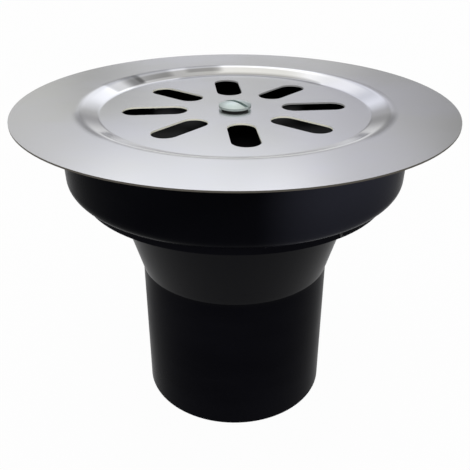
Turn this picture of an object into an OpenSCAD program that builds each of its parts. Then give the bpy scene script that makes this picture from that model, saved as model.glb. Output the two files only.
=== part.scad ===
// Gully trap: a floor drain with a stainless strainer plate, a bell-type water seal and a spigot outlet.
// Millimetres. The part stands on the end of its spigot at z = 0, and +Z is the axis of the drain.

/* [Strainer plate] */
// Diameter of the whole plate
plate_d = 160; // [150:1:180]
// Thickness of the sheet
plate_t = 0.6; // [0.5:0.1:1]
// Width of the flat land from the inside of the bowl's wall to the sloped ring
ring_land = 4.8; // [3:0.1:7]
// Width of the sloped ring, seen from above
ring_w = 7; // [5:0.5:9]
// Depth of the disc under the flange
disc_drop = 2.4; // [1.5:0.1:3]
// Inside radius of the two bends in the sheet
bend_r = 1.4; // [0.8:0.1:2]
// Number of drain slots
slot_count = 8; // [6:1:10]
// Width of a drain slot
slot_w = 10; // [6:0.5:11]
// Distance from the axis to the inner end of a slot
slot_start = 17.5; // [16:0.5:20]
// Distance from the outer end of a slot to the foot of the sloped ring
slot_margin = 8; // [5:0.5:11]

/* [Bowl] */
// Outer diameter of the wall, where it meets the flange
bowl_d = 128.6; // [118:0.2:142]
// Height from the weld to the top of the flange
bowl_h = 28; // [27:0.5:36]
// Wall thickness
bowl_wall = 3; // [2.4:0.1:3.4]
// Draft of the wall in degrees
bowl_draft = 2; // [1:0.5:3]
// Outer radius of the lower edge
bowl_edge_r = 5.5; // [4.5:0.1:6]
// Width of the flange that carries the plate, outside the wall
flange_w = 7.7; // [5:0.1:10]
// Thickness of that flange
flange_t = 3; // [2:0.1:4]

/* [Outlet] */
// Height of the band under the weld
band_h = 3.2; // [2.8:0.1:5]
// Thickness of the floor
floor_t = 2; // [1.6:0.1:2.4]
// Outer diameter of the cone where it leaves the floor
cone_d = 94; // [86:0.4:100]
// Height of the cone
cone_h = 32.5; // [26:0.5:40]
// Outer diameter of the spigot
spigot_d = 75; // [70:0.5:80]
// Length of the spigot
spigot_l = 58.2; // [45:0.2:80]
// Wall thickness of the cone and the spigot
outlet_wall = 3; // [2.4:0.1:3.6]
// Outer diameter of the standpipe
standpipe_d = 58; // [54:1:62]
// Wall thickness of the standpipe
standpipe_wall = 2.4; // [2:0.1:3]

/* [Bell] */
// Outer diameter of the bell at its rim
bell_d = 80; // [78:1:84]
// Wall thickness
bell_wall = 2.4; // [2:0.1:3]
// Room between the plate and the top of the bell
bell_headroom = 5; // [4.5:0.1:6]
// Room for the water between the rim and the floor
rim_gap = 4; // [3:0.2:5]
// Room for the water between the top of the standpipe and the bell
overflow_gap = 5.4; // [4.5:0.1:6.5]
// Diameter of the hub
hub_d = 18; // [17:0.5:22]
// Number of arms
arm_count = 3; // [3:1:4]
// Width of an arm
arm_w = 14; // [10:0.5:16]
// Thickness of an arm
arm_t = 3; // [2.4:0.1:3.6]
// Thickness of the lugs that hold the arms down and of the ledges under them
lug_t = 2.4; // [2:0.1:3]

/* [Screw] */
// Nominal diameter of the screw
screw_d = 6; // [5:0.5:6]
// Length of the screw under its head
screw_l = 20; // [17:0.5:26]
// Diameter of the head
head_d = 12; // [10.5:0.5:13]
// Height of the head
head_h = 2.1; // [1.8:0.1:3.6]
// Width of the driver slot
driver_w = 1.6; // [1.2:0.1:2]
// Depth of the driver slot
driver_depth = 1.4; // [1:0.1:1.5]
// Outer diameter of the washer
washer_d = 10; // [9:0.1:12]
// Thickness of the washer
washer_t = 0.7; // [0.5:0.1:2]
// Width of the nut across its flats
nut_af = 10; // [9:0.5:10]
// Thickness of the nut
nut_t = 5; // [4:0.1:5]

/* [Hidden] */
$fn = 96;

// Clearances between pieces
hub_clear = 0.8;       // under the plate, so that the screw can draw the arms up against the lugs
screw_clear = 0.3;     // round the screw, in the plate, the washer and the hub
thread_clear = 0.1;    // round the screw in the nut
nut_clear = 0.15;      // round the nut in its pocket
arm_clear = 0.3;       // over and under the end of an arm
wall_clear = 1;        // from the end of an arm to the wall of the bowl
fuse = 1;              // depth to which a lug is sunk into the wall that carries it
bite = 0.002;          // depth to which a rounding arc runs into its sides
over = 1;              // how far a cut reaches past a face

// Levels, from the spigot's end up
z_cone = spigot_l;
z_band = z_cone + cone_h;
z_weld = z_band + band_h;
z_flange = z_weld + bowl_h;
z_top = z_flange + plate_t;
z_disc = z_top - disc_drop;
z_floor = z_band + floor_t;
z_bell = z_disc - plate_t - bell_headroom;
z_hub = z_disc - plate_t - hub_clear;
z_rim = z_floor + rim_gap;
z_standpipe = z_bell - bell_wall - overflow_gap;
z_head = z_disc + washer_t;

// Bowl
bowl_r = bowl_d / 2;
bowl_foot_r = bowl_r - (bowl_h - bowl_edge_r) * tan(bowl_draft) - bowl_edge_r / cos(bowl_draft);
flange_r = bowl_r + flange_w;
flange_edge = 0.6;     // bevel round the lower edge of the flange
flange_bevel = 2;      // bevel in the corner under the flange
weld_land = 3;         // width of the ring where the bowl and the outlet are welded
weld_r = bowl_foot_r;
mouth_r = weld_r - weld_land;

// Inner radius of the bowl's wall at height z
function bowl_inner_r(z) = bowl_r - bowl_wall / cos(bowl_draft) - (z_flange - z) * tan(bowl_draft);

// Strainer plate
plate_r = plate_d / 2;
ring_r = bowl_inner_r(z_flange) - ring_land;
disc_r = ring_r - ring_w;
slot_end = disc_r - slot_margin;
ring_angle = atan(disc_drop / ring_w);

// Lugs that hold the bell's arms
lug_side = 2.7;        // how far a lug reaches past each side of its arm
lug_stop = 1.6;        // angle that the stop at its end covers
lug_in = 4.6;          // how far a lug stands out from the wall

// Outlet
cone_r = cone_d / 2;
cone_step = 0.2;       // step from the cone to the spigot
spigot_r = spigot_d / 2;
spigot_bore_r = spigot_r - outlet_wall;
spigot_edge = 0.3;     // bevel on the spigot's end
standpipe_r = standpipe_d / 2;
cone_bevel = 1.2;      // bevel in the corner over the cone
flash = 0.45;          // how far the weld flash stands out, and its height
standpipe_bevel = 0.8; // bevel round the top of the standpipe

// Bell and its arms
bell_r = bell_d / 2;
bell_edge_r = 4;       // outer radius of the upper edge
bell_draft = 1;        // draft of the bell's wall in degrees
hub_r = hub_d / 2;
hub_bevel = 1.6;       // bevel round the foot of the hub
pocket_wall = 2;       // plastic left over the nut
z_nut = z_bell - bell_wall - pocket_wall;
z_hub_end = z_nut - nut_t;
rib_w = 2.4;           // width of the rib under an arm
rib_drop = 6;          // depth of that rib at the bell
arm_start = 90;        // angle of the first arm
arm_step = 0.6;        // from the top of the bell down to the top of the arms
z_arm = z_bell - arm_step;
arm_r = bowl_inner_r(z_arm - arm_t) - wall_clear;

// Screw
driver_angle = -46;    // angle at which the driver slot came to rest
head_edge_h = 0.8;     // height of the upright edge under the crown
point_bevel = 0.8;     // bevel at the screw's tip

// Half section of a filled pot: drafted wall, rounded lower edge, closed to the axis
module pot_section(top_r, top_z, floor_z, draft, edge_r) {
    edge_z = floor_z + edge_r;
    wall_r = top_r - (top_z - edge_z) * tan(draft);
    edge_x = wall_r - edge_r / cos(draft);
    wall_foot = [edge_x, edge_z] + (edge_r - bite) * [cos(draft), -sin(draft)];
    polygon([[0, floor_z], [edge_x, floor_z], wall_foot, [top_r, top_z], [0, top_z]]);
    translate([edge_x, edge_z]) circle(edge_r);
}

// The piece between a corner at the origin, with its sides along a0 and a1, and the arc that rounds it.
// Added, it fills an inside corner; taken away, it rounds an outside one. It reaches past the corner by fuse,
// and its arc runs into the sides by bite, so that it meets them at a clear edge.
module corner_round(r, a0, a1) {
    half = (a1 - a0) / 2;
    middle = [cos(a0 + half), sin(a0 + half)];
    side = r / tan(half);
    difference() {
        polygon([-fuse * middle, side * [cos(a0), sin(a0)], side * [cos(a1), sin(a1)]]);
        translate((r - bite) / sin(half) * middle) circle(r);
    }
}

// As corner_round, with a flat bevel that takes leg off each side
module corner_bevel(leg, a0, a1) {
    start = leg * [cos(a0), sin(a0)];
    end = leg * [cos(a1), sin(a1)];
    over = (end - start) / 10;
    middle = [cos((a0 + a1) / 2), sin((a0 + a1) / 2)];
    polygon([-fuse * middle, start - over, end + over]);
}

// Half section of the pressed sheet: flat disc, sloped ring and flat flange, with round bends between them
module sheet_section() {
    slope_draft = 90 - ring_angle;
    difference() {
        union() {
            pot_section(ring_r + plate_t / sin(ring_angle), z_top, z_disc - plate_t, slope_draft,
                        bend_r + plate_t);
            translate([0, z_top - plate_t]) square([plate_r, plate_t]);
            translate([ring_r + plate_t * tan(ring_angle / 2), z_top - plate_t])
                corner_round(bend_r, ring_angle - 180, 0);
        }
        pot_section(ring_r + fuse / tan(ring_angle), z_top + fuse, z_disc, slope_draft, bend_r);
        translate([ring_r, z_top]) corner_round(bend_r + plate_t, ring_angle - 180, 0);
        translate([plate_r, z_top - plate_t - fuse]) square([plate_r, plate_t + 2 * fuse]);
    }
}

// Outline of one drain slot, along +X
module slot_outline() {
    end_r = slot_w / 2;
    translate([slot_start + end_r, 0]) circle(end_r);
    translate([slot_end - end_r, 0]) circle(end_r);
    translate([slot_start + end_r, -end_r]) square([slot_end - slot_start - slot_w, slot_w]);
}

module strainer_plate() {
    color("#c9cacd") difference() {
        rotate_extrude() sheet_section();
        for (i = [0 : slot_count - 1])
            rotate(i * 360 / slot_count)
                translate([0, 0, z_disc - 2 * plate_t]) linear_extrude(4 * plate_t) slot_outline();
        translate([0, 0, z_disc - 2 * plate_t]) cylinder(r = screw_d / 2 + screw_clear, h = 4 * plate_t);
    }
}

// Half section of the head: an upright edge under a shallow crown
module head_section() {
    crown_h = head_h - head_edge_h;
    crown_r = (pow(head_d / 2, 2) + pow(crown_h, 2)) / (2 * crown_h);
    intersection() {
        translate([0, head_h - crown_r]) circle(crown_r);
        square([head_d / 2, head_h]);
    }
}

module centre_screw() {
    shank_r = screw_d / 2;
    color("#ccd6d0") translate([0, 0, z_head]) difference() {
        union() {
            rotate_extrude() head_section();
            translate([0, 0, point_bevel - screw_l])
                cylinder(r = shank_r, h = screw_l - point_bevel + head_edge_h / 2);
            translate([0, 0, -screw_l]) cylinder(r1 = shank_r - point_bevel, r2 = shank_r, h = point_bevel);
        }
        rotate(driver_angle) translate([-head_d, -driver_w / 2, head_h - driver_depth])
            cube([2 * head_d, driver_w, 2 * driver_depth]);
    }
}

module screw_washer() {
    hole_r = screw_d / 2 + screw_clear;
    color("#1b1b1c") translate([0, 0, z_disc]) rotate_extrude()
        translate([hole_r, 0]) square([washer_d / 2 - hole_r, washer_t]);
}

module hex_nut() {
    color("#b9bcb8") translate([0, 0, z_hub_end]) difference() {
        cylinder(d = nut_af / cos(30), h = nut_t, $fn = 6);
        translate([0, 0, -over]) cylinder(r = screw_d / 2 + thread_clear, h = nut_t + 2 * over);
    }
}

// Half section of the bell without its hub
module bell_section() {
    mirror([0, 1]) difference() {
        pot_section(bell_r, -z_rim, -z_bell, bell_draft, bell_edge_r);
        translate([0, over]) pot_section(bell_r - bell_wall, -z_rim, -z_bell + bell_wall - over, bell_draft,
                                         bell_edge_r - bell_wall);
    }
}

// One arm along +X, with the rib that stiffens it
module bell_arm() {
    root = bell_r - bell_edge_r - bell_wall;
    translate([0, 0, z_arm - arm_t]) linear_extrude(arm_t) intersection() {
        circle(arm_r);
        translate([root, -arm_w / 2]) square([arm_r - root + fuse, arm_w]);
    }
    rib_end = arm_r - lug_in - arm_clear - wall_clear;
    translate([0, rib_w / 2, z_arm - arm_t / 2]) rotate([90, 0, 0]) linear_extrude(rib_w)
        polygon([[bell_r - bell_wall / 2, 0], [rib_end, 0], [rib_end, -arm_t / 2],
                 [bell_r - bell_wall / 2, -arm_t / 2 - rib_drop]]);
}

module bell_trap() {
    color("#1d1e21") difference() {
        union() {
            rotate_extrude() {
                bell_section();
                translate([0, z_hub_end]) square([hub_r, z_hub - z_hub_end]);
                translate([hub_r, z_bell]) corner_bevel(hub_bevel, 0, 90);
            }
            for (i = [0 : arm_count - 1]) rotate(arm_start + i * 360 / arm_count) bell_arm();
        }
        translate([0, 0, z_hub_end - over])
            cylinder(r = screw_d / 2 + screw_clear, h = z_hub - z_hub_end + 2 * over);
        translate([0, 0, z_hub_end - over])
            cylinder(d = (nut_af + 2 * nut_clear) / cos(30), h = nut_t + over, $fn = 6);
    }
}

// One bayonet guide, centred on +X: a lug over the arm, a ledge under it and a stop at one end
module bayonet_guide() {
    lug_z = z_arm + arm_clear;
    arm_room = arm_t + 2 * arm_clear;
    ledge_z = lug_z - arm_room - lug_t;
    inner = bowl_inner_r(ledge_z) - lug_in;
    outer = bowl_inner_r(ledge_z) + fuse;
    lug_angle = 2 * asin((arm_w / 2 + lug_side) / inner);
    difference() {
        rotate(-lug_angle / 2) rotate_extrude(angle = lug_angle)
            translate([inner, ledge_z]) square([outer - inner, arm_room + 2 * lug_t]);
        rotate(-lug_angle / 2 - lug_stop) rotate_extrude(angle = lug_angle)
            translate([inner - fuse, ledge_z + lug_t]) square([outer - inner + 2 * fuse, arm_room]);
    }
}

// Half section of the bowl
module bowl_section() {
    difference() {
        union() {
            pot_section(bowl_r, z_flange, z_weld, bowl_draft, bowl_edge_r);
            translate([0, z_flange - flange_t]) square([flange_r, flange_t]);
            translate([bowl_r - flange_t * tan(bowl_draft), z_flange - flange_t])
                corner_bevel(flange_bevel, -90 - bowl_draft, 0);
        }
        pot_section(bowl_inner_r(z_flange + over), z_flange + over, z_weld + bowl_wall, bowl_draft,
                    bowl_edge_r - bowl_wall);
        translate([flange_r, z_flange - flange_t]) corner_bevel(flange_edge, 90, 180);
        translate([0, z_weld - over]) square([mouth_r, bowl_wall + 2 * over]);
    }
}

module trap_bowl() {
    color("#17181c") {
        rotate_extrude() bowl_section();
        for (i = [0 : arm_count - 1]) rotate(arm_start + i * 360 / arm_count) bayonet_guide();
    }
}

// Half section of the outlet, from the spigot's end up to the weld and the standpipe
module outlet_section() {
    foot_r = spigot_r + cone_step;
    polygon([[spigot_bore_r, 0], [spigot_r - spigot_edge, 0], [spigot_r, spigot_edge], [spigot_r, z_cone],
             [foot_r, z_cone], [cone_r, z_band], [cone_r, z_band + floor_t / 2],
             [cone_r - outlet_wall, z_band + floor_t / 2], [cone_r - outlet_wall, z_band],
             [spigot_bore_r, z_cone]]);
    translate([cone_r, z_band]) corner_bevel(cone_bevel, -90 - atan((cone_r - foot_r) / cone_h), 0);
    translate([standpipe_r - standpipe_wall, z_band])
        square([weld_r - standpipe_r + standpipe_wall, floor_t]);
    polygon([[mouth_r, z_band], [weld_r, z_band], [weld_r, z_weld - flash], [weld_r + flash, z_weld],
             [mouth_r, z_weld]]);
    translate([standpipe_r, z_band]) polygon([[-standpipe_wall, 0], [0, 0],
        [0, z_standpipe - z_band - standpipe_bevel], [-standpipe_bevel, z_standpipe - z_band],
        [-standpipe_wall, z_standpipe - z_band]]);
}

module outlet_body() {
    color("#131416") rotate_extrude() outlet_section();
}

strainer_plate();
centre_screw();
screw_washer();
hex_nut();
bell_trap();
trap_bowl();
outlet_body();
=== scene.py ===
import math
import random

import bmesh
import bpy
from mathutils import Matrix, Vector


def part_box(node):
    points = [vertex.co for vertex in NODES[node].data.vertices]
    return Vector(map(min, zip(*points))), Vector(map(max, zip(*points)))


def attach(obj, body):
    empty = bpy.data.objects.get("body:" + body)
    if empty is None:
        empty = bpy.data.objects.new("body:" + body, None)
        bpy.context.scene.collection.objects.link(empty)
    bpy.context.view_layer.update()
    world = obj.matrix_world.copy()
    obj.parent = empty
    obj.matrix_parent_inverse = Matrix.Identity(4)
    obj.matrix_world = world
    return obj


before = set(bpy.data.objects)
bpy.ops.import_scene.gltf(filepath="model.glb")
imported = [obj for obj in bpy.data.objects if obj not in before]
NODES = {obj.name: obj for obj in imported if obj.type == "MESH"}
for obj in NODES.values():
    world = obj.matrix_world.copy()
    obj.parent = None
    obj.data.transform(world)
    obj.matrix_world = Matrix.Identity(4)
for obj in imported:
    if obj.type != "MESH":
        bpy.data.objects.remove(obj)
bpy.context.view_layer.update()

_, PLATE_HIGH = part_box("strainer_plate")
BOWL_LOW, BOWL_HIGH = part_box("trap_bowl")

# Lengths are in metres and angles in degrees. Angles round the drain count from +X.

# Camera, as the photograph was taken
LENS_MM = 48.7
SENSOR_MM = 36
CAMERA_REACH = 0.2299        # level distance from the drain's axis
CAMERA_RISE = 0.0672         # above the top of the plate
CAMERA_SIDE = 0.00013        # to the right of the axis
CAMERA_HEADING = 84.24       # direction in which it looks
CAMERA_TILT = 28.1           # below level
CAMERA_ROLL = 0.15
CLIP_NEAR = 0.01
CLIP_FAR = 50

# Studio
FLOOR_R = 4.0
FLOOR_SIDES = 96
FLOOR_COLOUR = (0.86, 0.86, 0.86, 1)
FLOOR_WHITE = 0.97           # share of the floor that shows as plain white
STUDIO_BASE = (0.30, 0.30, 0.30)
SWEEP_LIGHT = (0.62, 0.62, 0.62)   # the paper sweep that rises where the floor ends
SWEEP_RISE = 14
# Soft boxes: heading from the camera's (positive to the left), rise, half width, softness and light
SOFT_BOXES = (
    (0, 90, 20, 30, (0.50, 0.50, 0.50)),       # ceiling
    (180, 28, 30, 30, (0.36, 0.36, 0.36)),     # fill behind the camera
    (100, 28, 14, 24, (0.30, 0.30, 0.30)),     # fills at the two sides
    (-100, 28, 14, 24, (0.30, 0.30, 0.30)),
    (5, 32, 7, 10, (0.80, 0.82, 0.91)),        # front wash, bright on the near flange
    (18, 24, 4, 7, (0.20, 0.20, 0.19)),        # left of the wash
    (-12, 25, 4, 7, (0.36, 0.36, 0.41)),       # right of the wash
    (24, 15, 4, 8, (0.20, 0.20, 0.19)),        # low on the left
    (0, 8, 8, 6, (0.19, 0.19, 0.20)),          # low strip, on the far flange
    (2, 52, 16, 8, (0.56, 0.55, 0.52)),        # panel that lights the far side of the ring
)

# Part of a noise's range over which a colour or a roughness changes
NOISE_TINT = (0.35, 0.65)
NOISE_ROUGH = (0.3, 0.7)
FLOW_TINT = (0.3, 0.7)       # the same for the flow marks in plastic
FLOW_ROUGH = (0.25, 0.75)

# Stainless sheet
SHEET_WARM = (0.715, 0.715, 0.70, 1)
SHEET_COOL = (0.72, 0.72, 0.745, 1)
SHEET_ROUGH = (0.17, 0.21)   # across the grain
CLOUD_ROUGH = 0.02           # added by soft clouds
CLOUD_SCALE = 22
GRAIN_SCALES = (40, 3000, 40)
GRAIN_DEPTH = 0.000004
LEVEL_Z = (0.96, 0.99)       # upward part of the normal, from the ring's slope to a level face
TOP_Z = (0.8, 0.9)           # the same, from a cut edge to the top, which takes the ring's normal

# Its cut edges
CUT_Z = (0.6, 0.2)           # upward part of the normal, from a face to a cut edge
CUT_ROUGH = 0.6
# Painted dark reflection on the rim's cut edge
RIM_EDGE_SHADE = (0.11, 0.10, 0.085, 1)
RIM_DEPTH = 0.001            # how far in from the plate's outside an edge counts as the rim
# Painted highlight on the slots' cut edges toward one side, painted shade on them elsewhere
SLOT_EDGE_HIGHLIGHT = (0.95, 0.94, 0.83, 1)
SLOT_EDGE_SHADE = (0.42, 0.42, 0.42, 1)
SLOT_HIGHLIGHT_SIDE = (235, 95, 40)   # side of the slots' edges where the highlight is painted: angle, half width, softness
SLOT_EDGE_LIFT = 0.9         # the punch rolled these edges over, so they shine upward

# Its pressed ring
RING_ROUGH = 0.09            # smoother than the sheet
RING_FOOT_R = 0.0494         # radius of the line at its foot
RING_HIGH_R = 0.0568         # radius where it meets the flange
RING_SLOPE = 0.343           # fall from the flange to the disc
FOOT_BEND = (0.0004, 0.0010)     # reach of the bend at the foot, inward and outward
HIGH_BEND = (0.0024, 0.0016)     # and of the bend at the flange
RING_LINE_REACH = (0.0028, 0.0032)   # reach of the painted shade line, over the disc and up the ring
RING_LINE_DARK = 0.7
RING_LINE_SIDE = (76, 32, 12)    # the far side, where the painted shade line shows: angle, half width, softness
# Colour of the painted shade and dark reflections on the ring
RING_SHADE_GREY = (0.06, 0.06, 0.06, 1)
SHADE_PATCH_SOFT = 0.001            # softness of a painted shade patch's inner edge
SHADE_PATCH_REACH = 0.0028          # how far the painted shade patches fade out over the flange
RING_SHADE_PATCHES = (               # patches of painted shade and dark reflection: angle, half width, softness, inner radius, depth
    (99, 6, 4, 0.0524, 0.26), (124, 6, 5, 0.0512, 0.30), (141, 8, 3, 0.0502, 0.48),
    (116, 20, 8, 0.0490, 0.42), (24, 8, 18, 0.0490, 0.38), (-12, 10, 16, 0.0490, 0.12),
    (203, 6, 13, 0.0490, 0.50), (-34, 5, 14, 0.0490, 0.52),
)

# Zinc plating
ZINC_DARK = (0.49, 0.57, 0.55, 1)
ZINC_LIGHT = (0.57, 0.64, 0.62, 1)
ZINC_ROUGH = (0.28, 0.40)
ZINC_CLOUD = 260
ZINC_GRAIN = 900
ZINC_BUMP = (0.00002, 0.5)   # depth and strength

# Rubber
RUBBER_DARK = (0.008, 0.008, 0.008, 1)
RUBBER_LIGHT = (0.02, 0.02, 0.02, 1)
RUBBER_ROUGH = (0.6, 0.8)
RUBBER_GRAIN = 1800
RUBBER_BUMP = (0.00002, 0.5)

# Plastics: dark and light colour, lowest and highest roughness, specular level
OUTLET_LOOK = (0.0030, 0.0030, 0.0046, 1), (0.0046, 0.0046, 0.0066, 1), 0.26, 0.34, 0.009
BOWL_LOOK = (0.0021, 0.0022, 0.0034, 1), (0.0035, 0.0036, 0.0050, 1), 0.22, 0.30, 0.005
BELL_LOOK = (0.0018, 0.0018, 0.0022, 1), (0.003, 0.003, 0.0035, 1), 0.28, 0.36, 0.02
FLASH_LOOK = (0.018, 0.018, 0.019, 1), (0.060, 0.060, 0.060, 1), 0.35, 0.5, 0.2
FLOW_SCALES = (18, 18, 45)
PLASTIC_GRAIN = 2600
PLASTIC_BUMP = (0.00001, 0.4)
COAT_ROUGH = 0.3
COAT_IOR = 1.25

# The outlet's cone
CONE_FOOT_Z = 0.0582         # where the cone meets the spigot
# Painted light: colour that makes the downward cone and the edge at its foot greyer than the spigot
CONE_PAINTED_LIGHT = (0.0036, 0.0036, 0.0048, 1)
CONE_SHINE = 0.24
CONE_Z = (-0.1, -0.2), (-0.6, -0.4)   # upward part of the normal, at the two ends of the cone's range
EDGE_SHINE = 0.04            # of the edge at the cone's foot
EDGE_REACH = 0.0022          # how far that edge's look goes up and down

# Painted bluish sheen on the bowl's wall, a reflection put into the colour
SHEEN_ANGLE = 303
SHEEN_SPREAD = 34
SHEEN_LOW = 0.5              # its share at the foot of the wall
SHEEN_BLUE = (0.031, 0.032, 0.044, 1)

# Flash at the weld between the bowl and the outlet
FLASH_R = 0.0583             # radius of the ring that it makes
FLASH_THIN = 0.0002          # radius of the bead itself, between its lumps
FLASH_SIDES = 8
FLASH_STEPS = 1440
FLASH_SEED = 7
FLASH_WAVES = 14
FLASH_RATES = (5, 90)        # fewest and most waves in a turn
FLASH_STRENGTHS = (0.3, 1.0)
FLASH_SWELL = 0.3            # share by which the waves change its thickness
FLASH_RIPPLE = (-1.0, 1.5)   # lowest and highest sum of the waves
FLASH_LUMPS = (              # angle, spread in degrees, height, drop below the weld
    (226.0, 0.8, 0.00030, 0), (236.0, 1.6, 0.00020, 0), (243.0, 1.2, 0.00025, 0), (254.0, 2.0, 0.00015, 0),
    (262.8, 0.5, 0.00025, 0), (268.9, 1.2, 0.00032, 0), (273.6, 0.8, 0.00042, 0), (276.4, 0.8, 0.00045, 0),
    (281.5, 2.4, 0.00022, 0), (289.0, 1.0, 0.00015, 0), (300.6, 0.45, 0.00050, 0.0018),
    (318.0, 1.0, 0.00030, 0),
)


def unit(heading, rise):
    """Direction at a heading from +X and a rise over level, in degrees."""
    a, e = math.radians(heading), math.radians(rise)
    return Vector((math.cos(a) * math.cos(e), math.sin(a) * math.cos(e), math.sin(e)))


def add_camera():
    data = bpy.data.cameras.new("camera")
    data.lens = LENS_MM
    data.sensor_width = SENSOR_MM
    data.clip_start = CLIP_NEAR
    data.clip_end = CLIP_FAR
    camera = bpy.data.objects.new("camera", data)
    bpy.context.scene.collection.objects.link(camera)
    level = unit(CAMERA_HEADING, 0)
    right = level.cross(Vector((0, 0, 1)))
    place = right * CAMERA_SIDE - level * CAMERA_REACH
    place.z = PLATE_HIGH.z + CAMERA_RISE
    turn = unit(CAMERA_HEADING, -CAMERA_TILT).to_track_quat("-Z", "Y").to_matrix().to_4x4()
    roll = Matrix.Rotation(math.radians(CAMERA_ROLL), 4, "Z")
    camera.matrix_world = Matrix.Translation(place) @ turn @ roll
    bpy.context.scene.camera = camera


class Shader:
    """A material's or world's node tree, with short calls to fill it."""

    def __init__(self, owner):
        owner.use_nodes = True
        self.tree = owner.node_tree
        self.tree.nodes.clear()

    def node(self, kind, inputs=None, **settings):
        n = self.tree.nodes.new(kind)
        for key, value in settings.items():
            setattr(n, key, value)
        for key, value in (inputs or {}).items():
            self.put(n, key, value)
        return n

    def put(self, n, key, value):
        if isinstance(value, bpy.types.Node):
            value = value.outputs[0]
        if isinstance(value, bpy.types.NodeSocket):
            self.tree.links.new(value, n.inputs[key])
        else:
            n.inputs[key].default_value = value

    def math(self, operation, a, b=0.0):
        return self.node("ShaderNodeMath", {0: a, 1: b}, operation=operation)

    def vector(self, operation, a, b=None, scale=None):
        given = {0: a, 1: b, "Scale": scale}
        n = self.node("ShaderNodeVectorMath", {k: v for k, v in given.items() if v is not None},
                      operation=operation)
        return n.outputs["Value" if operation in ("DOT_PRODUCT", "LENGTH") else "Vector"]

    def ramp(self, value, low, high, out_low=0.0, out_high=1.0):
        return self.node("ShaderNodeMapRange", {0: value, 1: low, 2: high, 3: out_low, 4: out_high},
                         interpolation_type="SMOOTHSTEP")

    def mix(self, share, a, b):
        """A colour between a and b."""
        return self.node("ShaderNodeMix", {0: share, 6: a, 7: b}, data_type="RGBA").outputs[2]

    def mix_value(self, share, a, b):
        return self.node("ShaderNodeMix", {0: share, 2: a, 3: b}, data_type="FLOAT").outputs[0]

    def mix_vector(self, share, a, b):
        return self.node("ShaderNodeMix", {0: share, 4: a, 5: b}, data_type="VECTOR").outputs[1]

    def noise(self, where, scale, detail=2.0, roughness=0.5):
        return self.node("ShaderNodeTexNoise", {"Vector": where, "Scale": scale, "Detail": detail,
                                                "Roughness": roughness}).outputs[0]

    def stretched(self, where, scales):
        return self.node("ShaderNodeMapping", {"Vector": where, "Scale": scales})

    def bump(self, height, distance, strength=1.0):
        return self.node("ShaderNodeBump", {"Height": height, "Distance": distance, "Strength": strength})

    def place(self):
        return self.node("ShaderNodeTexCoord").outputs["Object"]

    def height(self, vector):
        return self.node("ShaderNodeSeparateXYZ", {0: vector}).outputs["Z"]

    def upright(self):
        """The upward part of the surface's normal."""
        return self.height(self.node("ShaderNodeNewGeometry").outputs["Normal"])

    def from_axis(self, where):
        """Level direction out from the drain's axis, and distance from it."""
        flat = self.stretched(where, (1, 1, 0))
        return self.vector("NORMALIZE", flat), self.vector("LENGTH", flat)

    def facing(self, way, toward, half, soft):
        """1 where a direction lies within half degrees of another, fading over soft degrees beyond that."""
        near = self.vector("DOT_PRODUCT", way, tuple(toward))
        return self.ramp(near, math.cos(math.radians(half + soft)), math.cos(math.radians(half)))


def material(name):
    m = bpy.data.materials.new(name)
    return m, Shader(m)


def finish_surface(shader, inputs):
    surface = shader.node("ShaderNodeBsdfPrincipled", inputs)
    shader.node("ShaderNodeOutputMaterial", {"Surface": surface})


def ring_painted_shade(s, away, reach):
    """Painted shade: a dark line at the foot of the pressed ring, and patches of painted shade and dark
    reflection on it.
    """
    angle, half, soft = RING_LINE_SIDE
    inward, outward = RING_LINE_REACH
    from_foot = s.math("SUBTRACT", reach, RING_FOOT_R)
    depth = s.ramp(s.facing(away, unit(angle, 0), half, soft), 0.0, 1.0, 0.0, RING_LINE_DARK)
    width = s.math("MULTIPLY", s.ramp(from_foot, outward, 0.0), s.ramp(from_foot, -inward, 0.0))
    line = s.math("MULTIPLY", width, depth)
    # patches of painted shade and dark reflection
    marks = 0.0
    for angle, half, soft, inner, dark in RING_SHADE_PATCHES:
        band = s.ramp(reach, inner, inner + SHADE_PATCH_SOFT, 0.0, dark)
        part = s.math("MULTIPLY", s.facing(away, unit(angle, 0), half, soft), band)
        marks = s.math("ADD", part, marks)
    marks = s.math("MULTIPLY", marks, s.ramp(reach, RING_HIGH_R + SHADE_PATCH_REACH, RING_HIGH_R))
    return s.math("MAXIMUM", line, marks)


def ring_normal(s, away, reach):
    """The ring's slope with a soft bend at its foot and at the flange, level elsewhere."""
    high = s.ramp(reach, RING_HIGH_R + HIGH_BEND[1], RING_HIGH_R - HIGH_BEND[0], 0.0, RING_SLOPE)
    slope = s.math("MULTIPLY", high, s.ramp(reach, RING_FOOT_R - FOOT_BEND[0], RING_FOOT_R + FOOT_BEND[1]))
    inward = s.vector("SCALE", away, scale=s.math("MULTIPLY", slope, -1.0))
    return s.vector("NORMALIZE", s.vector("ADD", inward, (0, 0, 1)))


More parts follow.
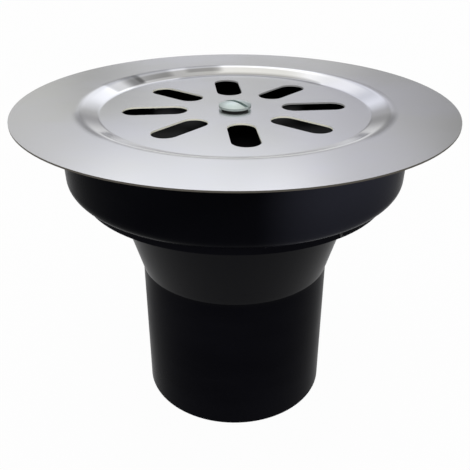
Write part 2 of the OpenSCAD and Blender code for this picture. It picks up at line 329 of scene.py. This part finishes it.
def stainless_sheet():
    """Satin rolled sheet with a fine straight grain, a smoother pressed ring and cut edges."""
    m, s = material("stainless_sheet")
    where = s.place()
    grain = s.noise(s.stretched(where, GRAIN_SCALES), scale=1.0, detail=3.0)
    cloud = s.noise(where, CLOUD_SCALE, detail=3.0)
    upright = s.upright()
    away, reach = s.from_axis(where)
    cut = s.ramp(s.math("ABSOLUTE", upright), *CUT_Z)
    rim = s.math("GREATER_THAN", reach, PLATE_HIGH.x - RIM_DEPTH)

    # painted highlight on the slots' edges toward one side, painted shade on the rest
    angle, half, soft = SLOT_HIGHLIGHT_SIDE
    slot_edge = s.mix(s.facing(away, unit(angle, 0), half, soft), SLOT_EDGE_SHADE, SLOT_EDGE_HIGHLIGHT)
    # painted dark reflection on the rim's cut edge
    edge = s.mix(rim, slot_edge, RIM_EDGE_SHADE)
    sheet = s.mix(s.ramp(cloud, *NOISE_TINT), SHEET_WARM, SHEET_COOL)
    # painted shade and dark reflections on the ring, put into the sheet's colour
    face = s.mix(ring_painted_shade(s, away, reach), sheet, RING_SHADE_GREY)

    rolled = s.math("MULTIPLY", s.math("MULTIPLY", cut, s.math("SUBTRACT", 1.0, rim)), SLOT_EDGE_LIFT)
    lift = s.node("ShaderNodeCombineXYZ", {"Z": rolled})
    tilted = s.vector("ADD", s.bump(grain, GRAIN_DEPTH), lift)
    normal = s.mix_vector(s.ramp(upright, *TOP_Z), tilted, ring_normal(s, away, reach))

    clouded = s.ramp(cloud, *NOISE_ROUGH, 0.0, CLOUD_ROUGH)
    dull = s.math("ADD", s.ramp(grain, *NOISE_ROUGH, *SHEET_ROUGH), clouded)
    polish = s.mix_value(s.ramp(upright, *LEVEL_Z), RING_ROUGH, dull)
    finish_surface(s, {
        "Base Color": s.mix(cut, face, edge),
        "Metallic": 1.0,
        "Roughness": s.mix_value(cut, polish, CUT_ROUGH),
        "Normal": s.vector("NORMALIZE", normal),
    })
    return m


def zinc_plate():
    """Pale, faintly green zinc plating on the screw and the nut."""
    m, s = material("zinc_plate")
    where = s.place()
    cloud = s.noise(where, ZINC_CLOUD, detail=4.0, roughness=0.6)
    finish_surface(s, {
        "Base Color": s.mix(s.ramp(cloud, *NOISE_TINT), ZINC_DARK, ZINC_LIGHT),
        "Metallic": 1.0,
        "Roughness": s.ramp(cloud, *NOISE_ROUGH, *ZINC_ROUGH),
        "Normal": s.bump(s.noise(where, ZINC_GRAIN, detail=3.0), *ZINC_BUMP),
    })
    return m


def moulded_plastic(name, look, paint_light_and_coat=None):
    """Black plastic with fine grain and faint flow marks. The function passed in may paint light into its
    colour and add a coat.
    """
    m, s = material(name)
    dark, light, rough_low, rough_high, level = look
    where = s.place()
    flow = s.noise(s.stretched(where, FLOW_SCALES), scale=1.0, detail=3.0)
    colour = s.mix(s.ramp(flow, *FLOW_TINT), dark, light)
    coat = 0.0
    if paint_light_and_coat:
        # painted light on the cone, painted sheen on the bowl
        colour, coat = paint_light_and_coat(s, where, colour)
    finish_surface(s, {
        "Base Color": colour,
        "Roughness": s.ramp(flow, *FLOW_ROUGH, rough_low, rough_high),
        "Specular IOR Level": level,
        "Coat Weight": coat,
        "Coat Roughness": COAT_ROUGH,
        "Coat IOR": COAT_IOR,
        "Normal": s.bump(s.noise(where, PLASTIC_GRAIN), *PLASTIC_BUMP),
    })
    return m


def cone_painted_light_and_coat(s, where, colour):
    """Painted light makes the cone greyer than the spigot, and a coat makes it shinier; the edge at its foot
    gets the same painted light and a little more coat.
    """
    upright = s.upright()
    shallow, steep = CONE_Z
    cone = s.math("MULTIPLY", s.ramp(upright, *shallow), s.ramp(upright, *steep))
    from_edge = s.math("ABSOLUTE", s.math("SUBTRACT", s.height(where), CONE_FOOT_Z))
    edge = s.ramp(from_edge, EDGE_REACH, 0.0)
    shine = s.math("ADD", s.math("MULTIPLY", cone, CONE_SHINE), s.math("MULTIPLY", edge, EDGE_SHINE))
    # painted light on the cone and on the edge at its foot
    return s.mix(s.math("MAXIMUM", cone, edge), colour, CONE_PAINTED_LIGHT), shine


def bowl_painted_sheen(s, where, colour):
    """A painted bluish sheen, a reflection put into the colour on one side of the bowl, with no coat."""
    away, _ = s.from_axis(where)
    share = s.math("MULTIPLY", s.facing(away, unit(SHEEN_ANGLE, 0), 0, SHEEN_SPREAD),
                   s.ramp(s.height(where), BOWL_LOW.z, BOWL_HIGH.z, SHEEN_LOW, 1.0))
    return s.mix(share, colour, SHEEN_BLUE), 0.0


def rubber():
    m, s = material("rubber")
    grain = s.noise(s.place(), RUBBER_GRAIN, detail=3.0)
    finish_surface(s, {
        "Base Color": s.mix(grain, RUBBER_DARK, RUBBER_LIGHT),
        "Roughness": s.ramp(grain, *NOISE_ROUGH, *RUBBER_ROUGH),
        "Normal": s.bump(grain, *RUBBER_BUMP),
    })
    return m


def add_object(name, mesh):
    obj = bpy.data.objects.new(name, mesh)
    bpy.context.scene.collection.objects.link(obj)
    return obj


def floor_material():
    """White to the camera and in reflections, and pale for the light that bounces; keeps the shadow."""
    m, s = material("floor")
    path = s.node("ShaderNodeLightPath").outputs
    seen = s.math("MAXIMUM", path["Is Camera Ray"],
                  s.math("MAXIMUM", path["Is Glossy Ray"], path["Is Transmission Ray"]))
    pale = s.node("ShaderNodeBsdfDiffuse", {"Color": FLOOR_COLOUR})
    white = s.node("ShaderNodeEmission", {"Color": (1, 1, 1, 1), "Strength": 1.0})
    both = s.node("ShaderNodeMixShader", {0: s.math("MULTIPLY", seen, FLOOR_WHITE), 1: pale, 2: white})
    s.node("ShaderNodeOutputMaterial", {"Surface": both})
    return m


def add_floor():
    bm = bmesh.new()
    bmesh.ops.create_circle(bm, cap_ends=True, segments=FLOOR_SIDES, radius=FLOOR_R)
    mesh = bpy.data.meshes.new("floor")
    bm.to_mesh(mesh)
    bm.free()
    floor = add_object("floor", mesh)
    floor.data.materials.append(floor_material())


def add_world():
    """An even base, the paper sweep near the horizon, and soft boxes by direction."""
    world = bpy.data.worlds.new("studio")
    bpy.context.scene.world = world
    s = Shader(world)
    way = s.node("ShaderNodeTexCoord").outputs["Generated"]
    sweep = s.ramp(s.height(way), math.sin(math.radians(SWEEP_RISE)), 0.0)
    total = s.vector("SCALE", SWEEP_LIGHT, scale=sweep)
    for heading, rise, half, soft, light in SOFT_BOXES:
        share = s.facing(way, unit(CAMERA_HEADING + heading, rise), half, soft)
        total = s.vector("ADD", total, s.vector("SCALE", light, scale=share))
    total = s.vector("ADD", total, STUDIO_BASE)
    background = s.node("ShaderNodeBackground", {"Color": total, "Strength": 1.0})
    s.node("ShaderNodeOutputWorld", {"Surface": background})


def flash_size(angle, waves):
    """The bead's radius at an angle in degrees, and how far it hangs: small waves, lumps and one drip."""
    ripple = sum(w * math.sin(math.radians(k * angle) + p) / math.sqrt(k) for k, p, w in waves)
    low, high = FLASH_RIPPLE
    thick = FLASH_THIN * (1 + FLASH_SWELL * max(low, min(high, ripple)))
    hang = 0.0
    for place, spread, height, drop in FLASH_LUMPS:
        share = math.exp(-((angle - place) / spread) ** 2)
        thick += height * share
        hang += drop * share
    return thick, hang


def weld_flash(look):
    """Uneven bead that the weld pressed out under the bowl."""
    chance = random.Random(FLASH_SEED)
    waves = [(chance.randint(*FLASH_RATES), chance.uniform(0, 2 * math.pi), chance.uniform(*FLASH_STRENGTHS))
             for _ in range(FLASH_WAVES)]
    bm = bmesh.new()
    rings = []
    for i in range(FLASH_STEPS):
        angle = 360 * i / FLASH_STEPS
        thick, hang = flash_size(angle, waves)
        out = unit(angle, 0)
        centre = out * FLASH_R + Vector((0, 0, BOWL_LOW.z - hang))
        turns = (2 * math.pi * j / FLASH_SIDES for j in range(FLASH_SIDES))
        rings.append([bm.verts.new(centre + out * (thick * math.cos(t)) + Vector((0, 0, thick * math.sin(t))))
                      for t in turns])
    for ring, after in zip(rings, rings[1:] + rings[:1]):
        for j in range(FLASH_SIDES):
            k = (j + 1) % FLASH_SIDES
            bm.faces.new((ring[j], after[j], after[k], ring[k]))
    bmesh.ops.recalc_face_normals(bm, faces=bm.faces)
    mesh = bpy.data.meshes.new("weld_flash")
    bm.to_mesh(mesh)
    bm.free()
    mesh.shade_smooth()
    bead = add_object("weld_flash", mesh)
    bead.data.materials.append(look)
    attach(bead, "root")


def dress(node, look):
    for slot in NODES[node].material_slots:
        slot.material = look


bpy.context.scene.view_settings.view_transform = "Standard"
add_camera()
add_floor()
add_world()

zinc = zinc_plate()
outlet_look = moulded_plastic("outlet_plastic", OUTLET_LOOK, cone_painted_light_and_coat)
bowl_look = moulded_plastic("bowl_plastic", BOWL_LOOK, bowl_painted_sheen)
bell_look = moulded_plastic("bell_plastic", BELL_LOOK)
flash_look = moulded_plastic("weld_flash", FLASH_LOOK)
dress("strainer_plate", stainless_sheet())
dress("centre_screw", zinc)
dress("hex_nut", zinc)
dress("screw_washer", rubber())
dress("bell_trap", bell_look)
dress("trap_bowl", bowl_look)
dress("outlet_body", outlet_look)
weld_flash(flash_look)
